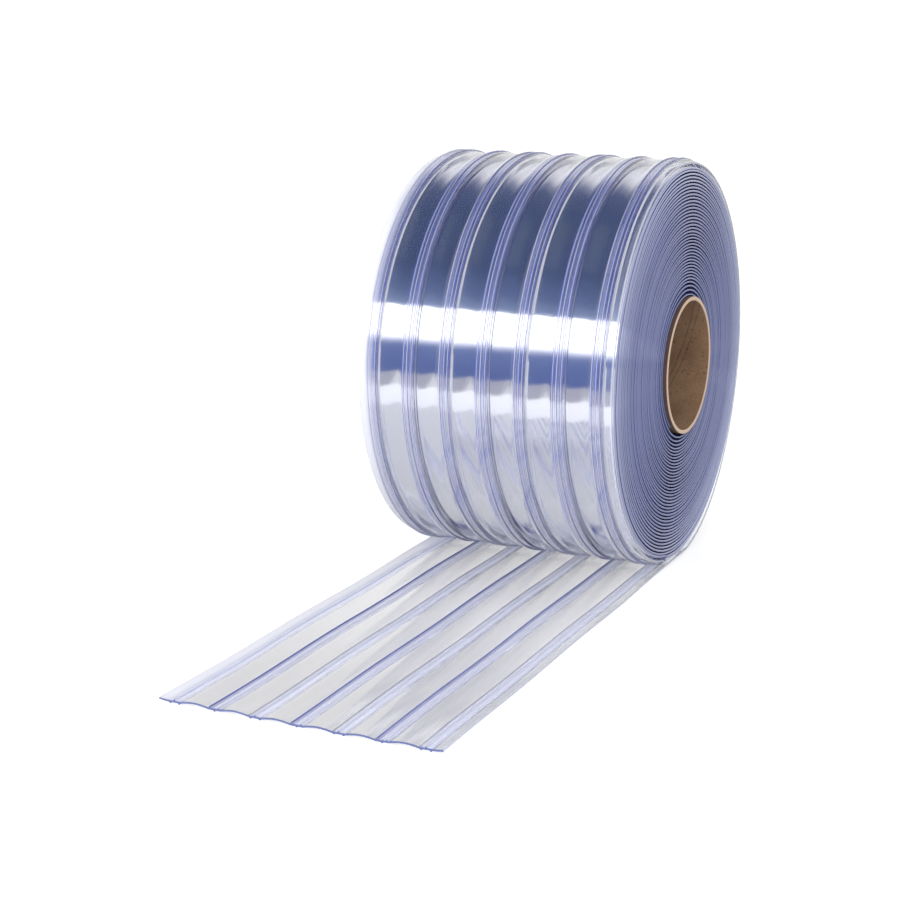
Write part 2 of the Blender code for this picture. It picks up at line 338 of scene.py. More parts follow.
# %% Name the usual nodes
COLOUR_A, COLOUR_B, COLOUR_OUT = 6, 7, 2  # where a Mix node keeps its colours


def object_place(finish):
    """Return the place of a point in Object coordinates, which are the frame's own here."""
    return finish.add("ShaderNodeTexCoord", out="Object")


def xyz(finish, place_of):
    """Return the three parts of a place."""
    first = finish.add("ShaderNodeSeparateXYZ", {}, {"Vector": place_of})
    return [Value(finish, output) for output in first.socket.node.outputs]


def from_axis(finish, place_of):
    """Return the way from the roll's axis to a place, without its part along the axis."""
    return finish.add("ShaderNodeVectorMath", {"operation": "MULTIPLY_ADD"}, {
        0: place_of, 1: (0, 1, 1), 2: (0, 0, -AXIS_HEIGHT)})


def radius_of(finish, place_of):
    """Return how far a place is from the roll's axis."""
    return finish.add("ShaderNodeVectorMath", {"operation": "LENGTH"}, {
        0: from_axis(finish, place_of)}, out="Value")


def band(finish, value, low, high):
    """Return 0 at low and under, 1 at high and over, and a smooth step between."""
    return finish.add("ShaderNodeMapRange", {"interpolation_type": "SMOOTHSTEP"}, {
        "Value": value, "From Min": low, "From Max": high})


def between(finish, value, rise, fall):
    """Return 1 between two smooth steps and 0 outside them; each step is a low and a high."""
    return band(finish, value, *rise) * (1 - band(finish, value, *fall))


def near_edge(finish, way_out, start, whole):
    """Return 0 further from the strip's edge than start, 1 nearer than whole, and a smooth step."""
    return band(finish, way_out, HALF_WIDTH - start, HALF_WIDTH - whole)


def mix_colours(finish, factor, first, second):
    return finish.add("ShaderNodeMix", {"data_type": "RGBA"}, {
        "Factor": factor, COLOUR_A: first, COLOUR_B: second}, out=COLOUR_OUT)


def mix_shaders(finish, factor, first, second):
    return finish.add("ShaderNodeMixShader", {}, {0: factor, 1: first, 2: second})


def noise(finish, place_of, scale, detail):
    """Return noise with so many waves a metre, one number or one each for x, y and z."""
    if isinstance(scale, tuple):
        place_of = finish.add("ShaderNodeMapping", {}, {"Vector": place_of, "Scale": scale})
        scale = 1.0
    return finish.add("ShaderNodeTexNoise", {}, {
        "Vector": place_of, "Scale": scale, "Detail": detail})


def bump_of(finish, height, strength, distance=0.001):
    return finish.add("ShaderNodeBump", {}, {
        "Height": height, "Strength": strength, "Distance": distance})


# %% [markdown]
# Extruded PVC is never quite flat, and its ribs decide where light gathers. These helpers find the
# nearest rib from a place across the strip, and mix the three plain ways in which the plastic shows:
# clear gloss over a colour, a mirror, and the calm look of the layers under a rib group.

# %% Find the ribs and the gloss
PVC_INDEX = 1.53
STACKED_BLUE = (0.125, 0.18, 0.44)  # many layers seen through one
NEUTRAL, BLUISH = (0.95, 0.945, 0.95), (0.72, 0.76, 0.97)
CALM_MIRROR = 0.70  # the share of the calm look that mirrors


def from_nearest(x, pitch):
    """Return the way from the nearest multiple of a pitch: pitch * (fract(x / pitch + 1/2) - 1/2)."""
    return ((x * (1 / pitch) + 0.5).math("FRACT") - 0.5) * pitch


def across_strip(finish, place_of):
    """Return x and the ways to the nearest group, rib, and left rib of every other group."""
    x = xyz(finish, place_of)[0]
    to_group = from_nearest(x, GROUP_PITCH).math("ABSOLUTE")
    to_rib = to_group.math("MINIMUM", (to_group - RIB_SPACING).math("ABSOLUTE"))
    return x, to_group, to_rib, (from_nearest(x, 2 * GROUP_PITCH) + RIB_SPACING).math("ABSOLUTE")


def gloss(finish, colour, roughness, bump):
    """Return an opaque, glossy plastic."""
    return finish.add("ShaderNodeBsdfPrincipled", {}, {
        "Base Color": colour, "Roughness": roughness, "IOR": PVC_INDEX, "Normal": bump})


def mirror(finish, tint, roughness, normal):
    return finish.add("ShaderNodeBsdfPrincipled", {}, {
        "Base Color": tint, "Metallic": 1.0, "Roughness": roughness, "Normal": normal})


def layers_under(finish, place_of):
    """Return the calm look of the layers under a rib group, and where it may show.

    It is a mirror over blue with the normal of the whole roll, so it runs on calmly over the ribs.
    It shows only on the outer face and from outside, because it would catch light in the sheet.
    """
    outward = finish.add("ShaderNodeVectorTransform", {
        "vector_type": "NORMAL", "convert_from": "OBJECT", "convert_to": "WORLD"}, {
        "Vector": from_axis(finish, place_of)})
    deep = finish.add("ShaderNodeBsdfPrincipled", {}, {
        "Base Color": STACKED_BLUE, "Roughness": 0.25, "Normal": outward})
    calm = mix_shaders(finish, CALM_MIRROR, deep, mirror(finish, NEUTRAL, 0.1, outward))
    on_outer = finish.add("ShaderNodeAttribute", {"attribute_name": "on_outer"}, {}, out="Fac")
    from_inside = finish.add("ShaderNodeNewGeometry", out="Backfacing")
    return calm, on_outer * (1 - from_inside)


print("rib groups", round(1000 * GROUP_PITCH, 2), "mm apart")

# %% [markdown]
# A rib works as a small lens. Its flanks show light that has run a long way inside the sheet, so they
# look blue, and its crest and the strip's curled edges catch the light and look pale. A mesh as fine as
# that would be far too heavy, so this light is painted into the finish in thin bands: a painted blue on
# the flanks and on one rib of every other group, and a painted highlight on the crests and curled
# edges.

# %% Paint the light in the ribs
FLANK_START, FLANK_END = (0.0003, 0.0006), (0.0008, 0.0011)  # from a rib's middle, as the next two
CREST_END, LINE_END = (0.0001, 0.0004), (0.0003, 0.0008)
FAR_CURL, NEAR_CURL = (0.016, 0.003), (0.0013, 0.0004)  # from the edge: where it starts, is whole
FAR_PAINTED_SHEEN, NEAR_PAINTED_SHEEN = 0.6, 0.4  # how strong the painted highlight on the curled edges is


def painted_rib_light(finish, bump, ways, in_group, flank_share, crest_share, line_share, painted_sheen_share):
    """Return the painted blue of the ribs' flanks and the painted highlight for the light they scatter,
    each with its share.

    ways is what across_strip() returns.
    """
    x, _, to_rib, to_left_rib = ways
    flanks = between(finish, to_rib, FLANK_START, FLANK_END)
    crests = 1 - band(finish, to_rib, *CREST_END)
    line = (1 - band(finish, to_left_rib, *LINE_END)) * line_share
    curled = (near_edge(finish, x * -1, *FAR_CURL) * FAR_PAINTED_SHEEN).math(
        "MAXIMUM", near_edge(finish, x, *NEAR_CURL) * NEAR_PAINTED_SHEEN)
    painted_sheen = (crests * crest_share).math("MAXIMUM", in_group * painted_sheen_share) * (1 - line)
    # Painted light: a blue on the flanks and on one rib of every other group, for light bent inside the
    # ribs, and a pale painted highlight on the crests, rib groups and curled edges.
    painted_rib_blue = gloss(finish, (0.09, 0.12, 0.50), 0.15, bump)
    painted_highlight = gloss(finish, (0.88, 0.89, 0.97), 0.2, bump)
    return (painted_rib_blue, (flanks * flank_share).math("MAXIMUM", line),
            painted_highlight, painted_sheen.math("MAXIMUM", curled))


# %% [markdown]
# Clear flexible PVC is a real refracting sheet here, because its look is all in how its ribs bend what
# is behind them. A tinted Principled shader alone would colour thin and thick places alike. The real
# blue shows only over a long path, so it is an absorption inside the sheet.

# %% Make the clear PVC
GROUP_EDGE = (0.0042, 0.0052)  # from a group's middle, where it ends
CUT_SIDE = (0.0001, 0.00002)  # from the strip's edge, so that only the side itself is frosted


def clear_pvc(name, tint, group_tint, roughness, waviness, flank_share, crest_share, line_share,
              painted_sheen_share, calm_share, over_stack):
    """Return clear PVC: faint long waves, a painted blue on the ribs' flanks, a painted highlight on
    their crests.

    painted_sheen_share is how much painted highlight the rib groups get for the light they scatter, and
    the strip's curled edges get the most of it. calm_share is how much of a rib group shows what is
    under
    it without bending it: the stacked layers on the roll, the floor under the tongue. The long edges
    pass light but no image.
    They are a part of this finish, and not a finish of their own, because light that goes in through
    one finish has to come out through the same one for the blue inside the sheet to stop there.
    """
    finish = finish_named(name)
    place_of = object_place(finish)
    ways = across_strip(finish, place_of)
    x, to_group = ways[:2]
    in_group = 1 - band(finish, to_group, *GROUP_EDGE)
    bump = bump_of(finish, noise(finish, place_of, (45, 12, 12), 1.0), waviness)
    bending = finish.add("ShaderNodeBsdfPrincipled", {}, {
        "Base Color": mix_colours(finish, in_group, tint, group_tint), "Roughness": roughness,
        "IOR": PVC_INDEX, "Transmission Weight": 1.0, "Normal": bump})
    if over_stack:
        calm, shown = layers_under(finish, place_of)
        calm_share = shown * calm_share
    else:
        calm = finish.add("ShaderNodeBsdfTransparent", {}, {"Color": (0.95, 0.955, 0.985)})
    sheet = mix_shaders(finish, in_group * calm_share, bending, calm)
    painted_rib_blue, blue_share, painted_highlight, light_share = painted_rib_light(
        finish, bump, ways, in_group, flank_share, crest_share, line_share, painted_sheen_share)
    blued = mix_shaders(finish, blue_share, sheet, painted_rib_blue)
    ribbed = mix_shaders(finish, light_share, blued, painted_highlight)
    frosted = finish.add("ShaderNodeBsdfPrincipled", {}, {
        "Base Color": (0.74, 0.77, 0.90), "Roughness": 0.5, "IOR": PVC_INDEX,
        "Transmission Weight": 0.35})
    edged = mix_shaders(finish, near_edge(finish, x.math("ABSOLUTE"), *CUT_SIDE), ribbed, frosted)
    for_shadow = finish.add("ShaderNodeLightPath", out="Is Shadow Ray")
    passing = finish.add("ShaderNodeBsdfTransparent", {}, {"Color": (0.93, 0.94, 0.97)})
    inside = finish.add("ShaderNodeVolumeAbsorption", {}, {
        "Color": (0.35, 0.45, 0.95), "Density": 14.0})
    finish.add("ShaderNodeOutputMaterial", {}, {
        "Surface": mix_shaders(finish, for_shadow, edged, passing), "Volume": inside})
    return finish.owner


wrap_finish = clear_pvc(
    "clear_wrap", tint=(0.97, 0.98, 1.0), group_tint=(0.95, 0.96, 1.0), roughness=0.02,
    waviness=0.008, flank_share=0.65, crest_share=0.35, line_share=0.0, painted_sheen_share=0.0,
    calm_share=0.5, over_stack=True)
tongue_finish = clear_pvc(
    "clear_tongue", tint=(0.86, 0.85, 0.83), group_tint=(0.92, 0.93, 1.0), roughness=0.10,
    waviness=0.004, flank_share=0.15, crest_share=0.2, line_share=0.95, painted_sheen_share=0.2,
    calm_share=0.6, over_stack=False)
print("clear PVC for the outer turn and the tongue")

# %% [markdown]
# Forty clear layers on each other look like one deep blue body with a mirror on top. Rays could be
# sent through all forty, but each would need dozens of bounces, so the layers under the outer turn
# have this opaque finish, and its blue and its gloss do the work of the depth.

# %% Make the wound PVC
FAR_MARGIN, NEAR_MARGIN = (0.0115, 0.0055), (0.008, 0.0015)  # from the edge: where each is paler
FAR_DULL = 0.6  # how much less the far margin mirrors
GLOSS_RADIUS = 0.115  # from where the outermost layers mirror more
STREAK = 0.02  # the height of the drawing marks over that of the waves


def wound_pvc(name, deep, mirror_tint, mirror_share, roughness, blend, waviness, margins=None,
              outer_gloss=0.0):
    """Return many stacked layers seen as one: deep blue with a mirror on top.

    margins gives the paler colours towards the far and the near side. The far side flares a little
    and mirrors less. outer_gloss is what the outermost layers mirror above the others.
    """
    finish = finish_named(name)
    place_of = object_place(finish)
    wave = noise(finish, place_of, (70, 20, 20), 2.0)
    streak = noise(finish, place_of, (900, 4, 4), 2.0)
    bump = bump_of(finish, wave + streak * STREAK, waviness)
    darker = tuple(0.65 * v for v in deep)
    colour = mix_colours(finish, wave * 0.5 + streak * 0.5, deep, darker)
    edge_on = finish.add("ShaderNodeLayerWeight", {}, {"Blend": blend}, out="Facing")
    share = (edge_on * (1 - mirror_share) + mirror_share).math("MINIMUM", 1.0)
    if margins:
        x = xyz(finish, place_of)[0]
        at_far = near_edge(finish, x * -1, *FAR_MARGIN)
        at_near = near_edge(finish, x, *NEAR_MARGIN)
        for at_margin, pale in zip((at_far, at_near), margins):
            colour = mix_colours(finish, at_margin, colour, pale)
        share = share * (1 - at_far * FAR_DULL)
    if outer_gloss:
        radius = radius_of(finish, place_of)
        share = share + band(finish, radius, GLOSS_RADIUS, PACK_RADIUS) * outer_gloss
    mixed = mix_shaders(finish, share, gloss(finish, colour, 0.25, bump),
                        mirror(finish, mirror_tint, roughness, bump))
    finish.add("ShaderNodeOutputMaterial", {}, {"Surface": mixed})
    return finish.owner


stack_finish = wound_pvc(
    "wound_layers", deep=STACKED_BLUE, mirror_tint=NEUTRAL, mirror_share=0.68, roughness=0.09,
    blend=0.35, waviness=0.08, margins=((0.90, 0.88, 0.86), (0.24, 0.30, 0.60)))
gap_finish = wound_pvc(
    "between_layers", deep=(0.22, 0.27, 0.64), mirror_tint=NEUTRAL, mirror_share=0.0, roughness=0.3,
    blend=0.05, waviness=0.1)
edge_finish = wound_pvc(
    "layer_edges", deep=(0.14, 0.17, 0.41), mirror_tint=BLUISH, mirror_share=0.10, roughness=0.1,
    blend=0.04, waviness=0.05, outer_gloss=0.35)
cut_finish = wound_pvc(
    "cut_edge", deep=(0.06, 0.10, 0.36), mirror_tint=NEUTRAL, mirror_share=0.04, roughness=0.3,
    blend=0.1, waviness=0.1)
print("wound PVC for the stack, its gaps, its edges and the cut end")

# %% [markdown]
# The core is wound from kraft board, so its bore shows a slanting seam where one ply meets the next,
# with the specks and dark fibres of recycled paper. An image could show that, but noise and the turn
# round the axis give it at any size. The skin is painted darker, as shade, and the end that stands out
# is raw and pale.

# %% Make the kraft board
PLY_RISE = 0.11  # how far a ply climbs along the core in one turn
SEAMS = [(0.5, 0.005), (0.54, 0.004)]  # a ply's edges: their places in the turn, and half widths


def kraft_board():
    """Return the core's board: specked kraft paper with ply seams, a skin darkened by painted shade and
    a pale end.
    """
    finish = finish_named("kraft_board")
    place_of = object_place(finish)
    along, outward, up = xyz(finish, finish.add("ShaderNodeMapping", {}, {
        "Vector": place_of, "Location": (0, 0, -AXIS_HEIGHT)}))
    turn = outward.math("ARCTAN2", up)
    ply = (turn * (1 / math.tau) + along * (1 / PLY_RISE) + 0.5).math("FRACT")
    seam = sum(ply.math("COMPARE", at, half_width) for at, half_width in SEAMS)
    speck, cloud = noise(finish, place_of, 1400.0, 3.0), noise(finish, place_of, 60.0, 4.0)
    fibre = band(finish, noise(finish, place_of, 330.0, 1.0), 0.66, 0.72)
    board = finish.add("ShaderNodeValToRGB", {"stops": [
        (0.3, (0.16, 0.085, 0.045)), (0.5, (0.28, 0.17, 0.10)), (0.7, (0.36, 0.24, 0.15))]},
        {"Fac": speck * 0.6 + cloud * 0.4})
    seamed = mix_colours(finish, (seam * 0.45).math("MAXIMUM", fibre * 0.6), board,
                         (0.09, 0.045, 0.025))
    # Painted shade: the skin is mixed towards near black, for the shade on the core's outer face where
    # it stands out.
    painted_skin_shade = band(finish, radius_of(finish, place_of), CORE_RADIUS - 0.0008, CORE_RADIUS - 0.0003)
    shaded_skin = mix_colours(finish, painted_skin_shade * 0.8, seamed, (0.06, 0.04, 0.045))
    end = HALF_WIDTH + CORE_OVERHANG
    at_lip = band(finish, along.math("ABSOLUTE"), end - 0.0007, end - 0.0002)
    lipped = mix_colours(finish, at_lip * (0.7 + speck * 0.3), shaded_skin, (0.80, 0.60, 0.46))
    paper = finish.add("ShaderNodeBsdfPrincipled", {}, {
        "Base Color": lipped, "Roughness": 0.85, "Normal": bump_of(finish, speck, 0.3, 0.0002)})
    finish.add("ShaderNodeOutputMaterial", {}, {"Surface": paper})
    return finish.owner


kraft_finish = kraft_board()
print("board with", len(SEAMS), "seams a turn")

# %% [markdown]
# The outer turn lies flat on the floor, rises up the back and comes over the top. It is one path with
# a little slack where it leaves the floor, because such stiff strip can't bend sharply there. A cubic
# takes the slack back to nothing where the turn lies on the roll again.

# %% Make the outer turn
KINK = math.atan(KINK_REACH / WRAP_RADIUS)
FLAT_STEPS, TURN_STEPS = 10, 172


def wrap_radius(angle):
    """Radius = wrap radius less a pitch per turn, plus a cubic of slack before it rejoins the roll."""
    settled = WRAP_RADIUS - PITCH * angle / math.tau
    slack = WRAP_RADIUS / math.cos(KINK) - (WRAP_RADIUS - PITCH * KINK / math.tau)
    span = REJOIN_ANGLE - KINK
    t = np.clip((angle - KINK) / span, 0, 1)
    loose = slack * (2 * t**3 - 3 * t**2 + 1) + KINK_SLOPE * span * (t**3 - 2 * t**2 + t)
    return settled + loose


def on_roll(radius, angle):
    """(y, z) = (r sin a, axis height - r cos a), a from straight down."""
    return np.stack([radius * np.sin(angle), AXIS_HEIGHT - radius * np.cos(angle)], axis=1)


def on_floor(y):
    """(y, z) = (y, the lift of ribs pressed flat)."""
    return np.stack([y, np.full_like(y, FLOOR_LIFT)], axis=1)


angles = np.linspace(KINK, WRAP_END_ANGLE, TURN_STEPS)
route = np.concatenate([on_floor(np.linspace(HAND_OVER, KINK_REACH, FLAT_STEPS)[:-1]),
                        on_roll(wrap_radius(angles), angles)])
data, _ = sheet_mesh("outer_turn_clear", x, outer, inner, route)
place("outer_turn_clear", data, [wrap_finish], "strip_end", "pvc_wrap", "outer_turn")

# %% [markdown]
# The tongue is the same section laid on the floor, where slow waves lift it and its margins lie down
# again. Its cut end shows the blue of the whole sheet seen edge on, so the end's faces get a finish of
# their own. The real strip winds in as the roll turns, and the tongue gets a mesh of its own.

# %% Make the loose tongue
TONGUE_STEPS = 150
WAVE_HEIGHT, WAVE_ALONG, WAVE_ACROSS = 0.0004, 34, 25  # metres, and radians a metre
FREE_AFTER = 0.1  # from the nip to where the tongue lies as it likes
MARGIN_DROP = 0.7  # how much of its curl a margin loses there
tongue_y = np.linspace(-LOOSE_REACH, HAND_OVER - SEAT_GAP, TONGUE_STEPS)
ring_x = there_and_back(x)
free = np.clip((HAND_OVER - tongue_y) / FREE_AFTER, 0, 1)[:, None]
drop = MARGIN_DROP * np.where(np.abs(ring_x) > CENTRES[-1], bow(ring_x), 0)
wave = WAVE_HEIGHT * (1 + np.sin(tongue_y[:, None] * WAVE_ALONG + ring_x * WAVE_ACROSS))
data, cut = sheet_mesh("tongue_clear", x, outer, inner, on_floor(tongue_y), lift=free * (wave - drop))
piece = place("tongue_clear", data, [tongue_finish, cut_finish], "strip_end", "pvc_tongue",
              "loose_tongue", dressed=cut)
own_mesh(piece)

# %% [markdown]
# Under the outer turn the strip winds on down to the core as one spiral. Circles of strip would be
# simpler, but the eye sees the difference where the layers' edges run round the end of the roll. No
# two layers end quite alike, and the innermost turns lie looser than the rest.

# %% Wind the spiral
LAYERS_END = PLAIN_LAYERS + WOUND_LOOPS + 0.9  # in turns from the outside
UNEVEN_ENDS, UNEVEN_SEED, UNEVEN_WAVES = 0.001, 11, 2.3  # metres, and radians a turn
SWELL = [(4, 0.0044), (3, 0.0040), (2, 0.0031), (1, 0.0017), (0.1, 0)]  # turns to go, metres out
LOOSE_SIDE = 1.40 * math.pi  # the angle, at the upper front, where the turns lie loosest


def pack_radius(turns):
    """Radius = pack radius less a pitch per turn."""
    return PACK_RADIUS - PITCH * turns


def creep(radius):
    """Shift towards +X = creep * (1 - s^2), s from 0 at the core to 1 outside."""
    return CREEP * (1 - ((radius - CORE_RADIUS) / (PACK_RADIUS - CORE_RADIUS)) ** 2)


def unevenness(turns):
    """A seeded sum of slow sines, from 0 to 1 mm, so that no two layers end alike."""
    draw = np.random.default_rng(UNEVEN_SEED)
    rates, phases = draw.uniform(0.35, 2.6, 6), draw.uniform(0, math.tau, 6)
    waves = np.sin(turns[:, None] * rates * UNEVEN_WAVES + phases).mean(axis=1)
    return UNEVEN_ENDS / 2 * (1 + waves)


def looseness(turns):
    """Outward shift: SWELL, whole at LOOSE_SIDE and 0 opposite, as (1 + cos(angle - middle)) / 2."""
    at = [WOUND_LOOPS + 0.6, *(LAYERS_END - to_go for to_go, _ in SWELL)]
    swell = np.interp(turns, at, [0, *(out for _, out in SWELL)])
    return swell * (1 + np.cos(turns * math.tau - LOOSE_SIDE)) / 2


def spiral(name, first, last, steps, x, outer, inner, finishes, rim_depth, slot, *nodes):
    """Sweep a section along the spiral from one turn to another, with so many steps a turn.

    The second finish goes on the rim, as deep as rim_depth from the strip's edge.
    """
    turns = np.linspace(first, last, int((last - first) * steps) + 1)
    radius = pack_radius(turns)
    route = on_roll(radius + looseness(turns), turns * math.tau)
    data, _ = sheet_mesh(name, x, outer, inner, route, creep(radius) + unevenness(turns))
    ring_x = there_and_back(x)
    on_rim = np.abs(ring_x + np.roll(ring_x, -1)) / 2 > HALF_WIDTH - rim_depth
    dressed = np.zeros(len(data.polygons), dtype=np.int32)
    dressed[:len(ring_x) * (len(turns) - 1)] = np.tile(on_rim, len(turns) - 1)
    return place(name, data, finishes, "roll", slot, *nodes, dressed=dressed)


print("from radius", round(pack_radius(1), 4), "to", round(pack_radius(LAYERS_END), 4))

# %% [markdown]
# The layers that lie deep in the roll keep only the rib groups near both ends, which is as far in as an
# eye can look between them. Their long edges are rounded and a little thicker than the sheet, as an
# extruded edge is, and that round is what catches the light on the roll's end.

# %% Make the wound layers
EDGE_ROUND = SHEET / 2
EDGE_BEAD = 1.25  # how much thicker the strip is along its rounded edge than between its ribs
EDGE_LEAST = 0.2  # the share of its thickness that the very edge keeps
RIM_DEPTH = 0.0022
PRESSED = 0.85  # the innermost layers are pressed to this share of their section's height
STRETCH_GAP = 0.002  # in turns, between one stretch of the spiral and the next
edge = HALF_WIDTH - np.array([0, 0.0001, 0.00025, 0.00045, 0.00065, 0.003])
near = CENTRES[-1] + np.array([-4.3, -3.3, -2.3, -1, 0, 1, 2.3, 3.3, 4.3]) / 1000


def rounded(x):
    """Half thickness = bead * half sheet * sqrt(1 - (1 - d / r)^2), d from the edge.

    It is never under EDGE_LEAST, and the bead is gone 7 mm from the edge.
    """
    way_in = HALF_WIDTH - np.abs(x)
    d = np.clip(way_in / EDGE_ROUND, 0, 1)
    bead = np.interp(way_in, [0.003, 0.007], [EDGE_BEAD, 1])
    return bead * SHEET / 2 * np.maximum(np.sqrt(1 - (1 - d) ** 2), EDGE_LEAST)


side = np.concatenate([near, edge[::-1]])
layer_x = np.concatenate([-side[::-1], side])
middle = SHEET / 2
layer_outer = middle - rounded(layer_x) - ribs(layer_x, OUTER)
layer_inner = middle + rounded(layer_x) + ribs(layer_x, INNER)
start = WRAP_END_ANGLE / math.tau + SEAM_GAP / PACK_RADIUS / math.tau
loops_end = start + WOUND_LOOPS
finishes = [gap_finish, edge_finish]
spiral("wound_spiral", start + 1, loops_end, 86, layer_x, layer_outer, layer_inner, finishes,
       RIM_DEPTH, "pvc_stacked", "wound_loops")
spiral("inner_spiral", loops_end + STRETCH_GAP, LAYERS_END, 80, layer_x,
       middle + PRESSED * (layer_outer - middle), middle + PRESSED * (layer_inner - middle),
       finishes, RIM_DEPTH, "pvc_stacked", "inner_layers")

# %% [markdown]
# The topmost loop is the one that shows through the clear outer turn, so it has every rib of its outer
# face and the bow of its panels. It stands a little out of the pack at its rib groups, as the last
# turns of a roll do, and it is finer along the path than the layers under it.

# %% Make the top loop
TOP_BOW = 0.55  # how much of the strip's bow the roll's pull leaves in it
TOP_RAISE = 0.0004  # how far its rib groups stand out of the pack
TOP_RIM_DEPTH = 0.0007
TOP_TURN = 0.998  # a turn, less a hair so that it doesn't run into the loop under it
inside_edges = across(per_rib=7, panel_points=5, margin_points=3)[1:-1]
top_x = np.unique(np.round(np.concatenate([inside_edges, edge[:-1], -edge[:-1]]), 6))
top_middle = TOP_BOW * bow(top_x) - TOP_RAISE + middle
spiral("top_loop", start, start + TOP_TURN, 180, top_x,
       top_middle - rounded(top_x) - ribs(top_x, OUTER), top_middle + rounded(top_x),
       [stack_finish, edge_finish], TOP_RIM_DEPTH, "pvc_stacked")

# %% [markdown]
# The core is a turned profile with the slightly rounded lips that a saw and handling leave. A cylinder
# with a bevel would do, but the profile gives each lip its own few points and keeps the faces even.

# %% Turn the core
LIP = 0.0005
CORE_STEPS, LIP_STEPS = 240, 5
near_end = HALF_WIDTH + CORE_OVERHANG
far_end = near_end - CORE_LENGTH
bore, skin = CORE_BORE / 2, CORE_RADIUS


def core_profile():
    """(x, radius) round the wall: a quarter circle, (1 - cos t, 1 - sin t) * LIP, at each corner."""
    t = np.linspace(0, math.pi / 2, LIP_STEPS)
    corner = np.stack([1 - np.cos(t), 1 - np.sin(t)], axis=1) * LIP
    return np.concatenate([
        np.stack([near_end - corner[:, 0], bore + corner[:, 1]], axis=1)[::-1],
        np.stack([near_end - corner[:, 0], skin - corner[:, 1]], axis=1),
        np.stack([far_end + corner[:, 0], skin - corner[:, 1]], axis=1)[::-1],
        np.stack([far_end + corner[:, 0], bore + corner[:, 1]], axis=1)])


profile = core_profile()
turns = np.linspace(0, math.tau, CORE_STEPS, endpoint=False)
co = np.empty((CORE_STEPS, len(profile), 3))
co[:, :, 0] = profile[:, 0]
co[:, :, 1] = profile[:, 1] * np.sin(turns)[:, None]
co[:, :, 2] = AXIS_HEIGHT - profile[:, 1] * np.cos(turns)[:, None]
number = np.pad(np.arange(CORE_STEPS * len(profile)).reshape(CORE_STEPS, -1), (0, 1), mode="wrap")
data = mesh_of("core_board", co, quads(number))
bm = bmesh.new()
bm.from_mesh(data)
bmesh.ops.remove_doubles(bm, verts=bm.verts, dist=1e-6)
bmesh.ops.recalc_face_normals(bm, faces=bm.faces)
bm.to_mesh(data)
bm.free()
place("core_board", data, [kraft_finish], "roll", "kraft_board", "core_tube")

# %% [markdown]
# The studio is a white floor and backdrop with one wide softbox in front. The world is white for the
# camera and for mirrors, and a little less for the light on the roll, so that pale plastic keeps its
# tone. The softbox itself isn't seen: a card stands for its face below.

# %% Light the studio
WORLD_FILL = 0.78
SOFTBOX_SIZE, SOFTBOX_ENERGY = (3.0, 0.58), 22
SOFTBOX_PLACE, SOFTBOX_AIM = Vector((-0.2, -1.58, 0.765)), Vector((-0.1, 0, 0.2))


def rays(finish, *kinds):
    """Return 1 for rays of the given kinds and 0 for the others."""
    first = finish.add("ShaderNodeLightPath", out=f"Is {kinds[0]} Ray")
    outputs = first.socket.node.outputs
    for kind in kinds[1:]:
        first = first.math("MAXIMUM", Value(finish, outputs[f"Is {kind} Ray"]))
    return first


world = bpy.data.worlds.new("studio")
bpy.context.scene.world = world
finish = Finish(world)
seen = rays(finish, "Camera", "Glossy", "Transmission")
backdrop = finish.add("ShaderNodeBackground", {}, {
    "Color": (1, 1, 1), "Strength": seen * (1 - WORLD_FILL) + WORLD_FILL})
finish.add("ShaderNodeOutputWorld", {}, {"Surface": backdrop})

softbox = add_object("softbox", bpy.data.lights.new("softbox", "AREA"))
softbox.data.shape = "RECTANGLE"
softbox.data.size, softbox.data.size_y = SOFTBOX_SIZE
softbox.data.energy = SOFTBOX_ENERGY
softbox.location = SOFTBOX_PLACE
aim = SOFTBOX_AIM - SOFTBOX_PLACE
softbox.rotation_euler = aim.to_track_quat("-Z", "Y").to_euler()
softbox.visible_camera = softbox.visible_glossy = softbox.visible_transmission = False
print("softbox", round(aim.length, 2), "m from the roll")

# %% [markdown]
# The softbox's face is a card of its own, so that its mirror image can be brighter than the light on
# the roll and can fade along its lower edge. Such a card lights nothing: it is only seen in gloss.

# %% Face the softbox
UNDER_SOFTBOX = (0.16, 0.21, 0.42)
FACE_GLOW = (2.8, 2.8, 2.8)
FACE_FADE = (-0.03, 0.27)  # where the glow begins and is whole, over the card's lower edge
FACE_DROP = 1.5  # how far the card hangs below the softbox's middle, in half heights


def gloss_card(name, data, finish, colour):
    """Put a card into the studio that lights nothing and is only seen mirrored in gloss."""
    glow = finish.add("ShaderNodeEmission", {}, {"Color": colour, "Strength": 1.0})
    finish.add("ShaderNodeOutputMaterial", {}, {"Surface": glow})
    finish.owner.cycles.emission_sampling = "NONE"
    data.materials.append(finish.owner)
    card = add_object(name, data)
    card.visible_camera = card.visible_diffuse = card.visible_shadow = False


side_way = aim.cross(Vector((0, 0, 1))).normalized() * SOFTBOX_SIZE[0] / 2
up_way = side_way.cross(aim).normalized() * SOFTBOX_SIZE[1] / 2
corners = [SOFTBOX_PLACE + a * side_way + b * up_way
           for a, b in ((-1, -FACE_DROP), (1, -FACE_DROP), (1, 1), (-1, 1))]
data = mesh_of("softbox_face", corners, [(0, 1, 2, 3)])
finish = finish_named("softbox_face")
height = xyz(finish, object_place(finish))[2]
low_edge = min(corner.z for corner in corners)
fade = band(finish, height, *(low_edge + over_edge for over_edge in FACE_FADE))
glowing = mix_colours(finish, fade * fade * fade, UNDER_SOFTBOX, FACE_GLOW)
gloss_card("softbox_face", data, finish, glowing)
print("softbox face from", round(low_edge, 3), "m up")

# %% [markdown]
# The canopy goes from below the floor's front edge up over the camera to the backdrop, and shapes the
# reflections as black cards do. Its greys are the bands that the photograph shows mirrored on the
# roll, from the floor's edge to the roll's top. It is a bent sheet round the roll's axis.

